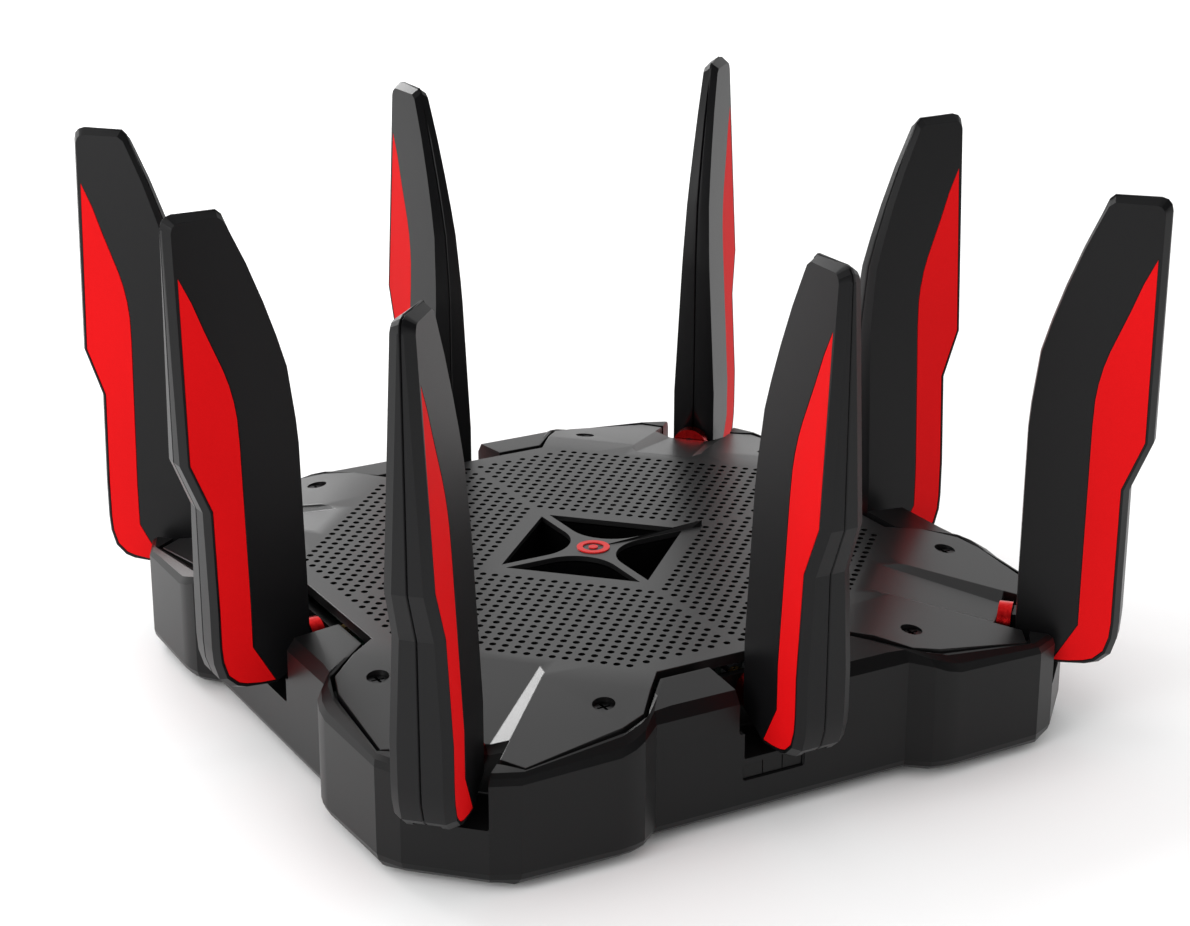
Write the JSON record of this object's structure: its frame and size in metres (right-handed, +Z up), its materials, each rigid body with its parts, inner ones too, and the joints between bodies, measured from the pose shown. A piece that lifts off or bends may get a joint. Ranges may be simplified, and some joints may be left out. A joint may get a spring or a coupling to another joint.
{
  "type": "wireless router",
  "caption": "Square black wireless router with corner blocks, a perforated top plate and upright red-striped blade antennas that fold outward on hinges.",
  "frame": {"origin": "bottom centre of the router on the table plane", "axes": "+Z up; -Y is the front with the push buttons, +Y the port side, +X the side with the USB sockets"},
  "size_m": [0.2938, 0.2938, 0.18],
  "materials": {
    "case_black": "satin moulded casing with a fine spark texture",
    "cover_grey": "satin moulded cover with a fine spark texture",
    "gloss_black": "polished black",
    "antenna_black": "fine matte",
    "red_stripe": "smooth red inlay",
    "red_mark": "printed red mark",
    "red_metal": "anodised red",
    "button_black": "satin",
    "board_green": "solder mask",
    "aluminium": "extruded, bare",
    "tin_plate": "tin plated",
    "brass": "machined",
    "steel": "plain",
    "steel_dark": "black zinc",
    "cable_black": "matt jacket",
    "rubber": "matt"
  },
  "bodies": {
    "router": {"bottom_case": "case_black", "top_cover": "cover_grey", "centre_tray": "gloss_black", "emblem": "red_mark", "emblem_light": "board_green", "main_board": "board_green", "heatsink": "aluminium", "shield_cans": "tin_plate", "lan_ports": "tin_plate", "wan_port": "tin_plate", "usb_ports": "tin_plate", "dc_jack": "gloss_black", "rear_io_panel": "cover_grey", "button_board": "board_green", "antenna_jacks": "brass", "antenna_collars": "red_metal", "antenna_arms": "case_black", "hinge_pins": "steel", "coax_leads": "cable_black", "cover_screws": "steel_dark", "case_screws": "steel", "rubber_feet": "rubber"},
    "power_button": {"power_button": "button_black"},
    "wifi_button": {"wifi_button": "button_black"},
    "light_button": {"light_button": "button_black"},
    "pairing_button": {"pairing_button": "button_black"},
    "antenna_front": {"ant_front_shell_a": "antenna_black", "ant_front_shell_b": "antenna_black", "ant_front_stripes": "red_stripe", "ant_front_radiator": "board_green"},
    "antenna_front_right": {"ant_front_right_shell_a": "antenna_black", "ant_front_right_shell_b": "antenna_black", "ant_front_right_stripes": "red_stripe", "ant_front_right_radiator": "board_green"},
    "antenna_right": {"ant_right_shell_a": "antenna_black", "ant_right_shell_b": "antenna_black", "ant_right_stripes": "red_stripe", "ant_right_radiator": "board_green"},
    "antenna_rear_right": {"ant_rear_right_shell_a": "antenna_black", "ant_rear_right_shell_b": "antenna_black", "ant_rear_right_stripes": "red_stripe", "ant_rear_right_radiator": "board_green"},
    "antenna_rear": {"ant_rear_shell_a": "antenna_black", "ant_rear_shell_b": "antenna_black", "ant_rear_stripes": "red_stripe", "ant_rear_radiator": "board_green"},
    "antenna_rear_left": {"ant_rear_left_shell_a": "antenna_black", "ant_rear_left_shell_b": "antenna_black", "ant_rear_left_stripes": "red_stripe", "ant_rear_left_radiator": "board_green"},
    "antenna_left": {"ant_left_shell_a": "antenna_black", "ant_left_shell_b": "antenna_black", "ant_left_stripes": "red_stripe", "ant_left_radiator": "board_green"},
    "antenna_front_left": {"ant_front_left_shell_a": "antenna_black", "ant_front_left_shell_b": "antenna_black", "ant_front_left_stripes": "red_stripe", "ant_front_left_radiator": "board_green"}
  },
  "joints": [
    {"name": "power_push", "type": "slide", "parent": "router", "child": "power_button", "axis": [0, -1, 0], "range_m": [0, 0.0009], "stiffness_N_per_m": 900, "springref_m": -0.0012},
    {"name": "wifi_push", "type": "slide", "parent": "router", "child": "wifi_button", "axis": [0, 1, 0], "range_m": [0, 0.0007], "stiffness_N_per_m": 900, "springref_m": -0.0012},
    {"name": "light_push", "type": "slide", "parent": "router", "child": "light_button", "axis": [0, 1, 0], "range_m": [0, 0.0007], "stiffness_N_per_m": 900, "springref_m": -0.0012},
    {"name": "pairing_push", "type": "slide", "parent": "router", "child": "pairing_button", "axis": [0, 1, 0], "range_m": [0, 0.0007], "stiffness_N_per_m": 900, "springref_m": -0.0012},
    {"name": "fold_front", "type": "hinge", "parent": "router", "child": "antenna_front", "pos_m": [0, -0.1302, 0.034], "axis": [1, 0, 0], "range_deg": [0, 90]},
    {"name": "fold_front_right", "type": "hinge", "parent": "router", "child": "antenna_front_right", "pos_m": [0.1178, -0.1178, 0.034], "axis": [0.7071, 0.7071, 0], "range_deg": [0, 90]},
    {"name": "fold_right", "type": "hinge", "parent": "router", "child": "antenna_right", "pos_m": [0.1302, 0, 0.034], "axis": [0, 1, 0], "range_deg": [0, 90]},
    {"name": "fold_rear_right", "type": "hinge", "parent": "router", "child": "antenna_rear_right", "pos_m": [0.1178, 0.1178, 0.034], "axis": [-0.7071, 0.7071, 0], "range_deg": [0, 90]},
    {"name": "fold_rear", "type": "hinge", "parent": "router", "child": "antenna_rear", "pos_m": [0, 0.1302, 0.034], "axis": [-1, 0, 0], "range_deg": [0, 90]},
    {"name": "fold_rear_left", "type": "hinge", "parent": "router", "child": "antenna_rear_left", "pos_m": [-0.1178, 0.1178, 0.034], "axis": [-0.7071, -0.7071, 0], "range_deg": [0, 90]},
    {"name": "fold_left", "type": "hinge", "parent": "router", "child": "antenna_left", "pos_m": [-0.1302, 0, 0.034], "axis": [0, -1, 0], "range_deg": [0, 90]},
    {"name": "fold_front_left", "type": "hinge", "parent": "router", "child": "antenna_front_left", "pos_m": [-0.1178, -0.1178, 0.034], "axis": [0.7071, -0.7071, 0], "range_deg": [0, 90]}
  ]
}
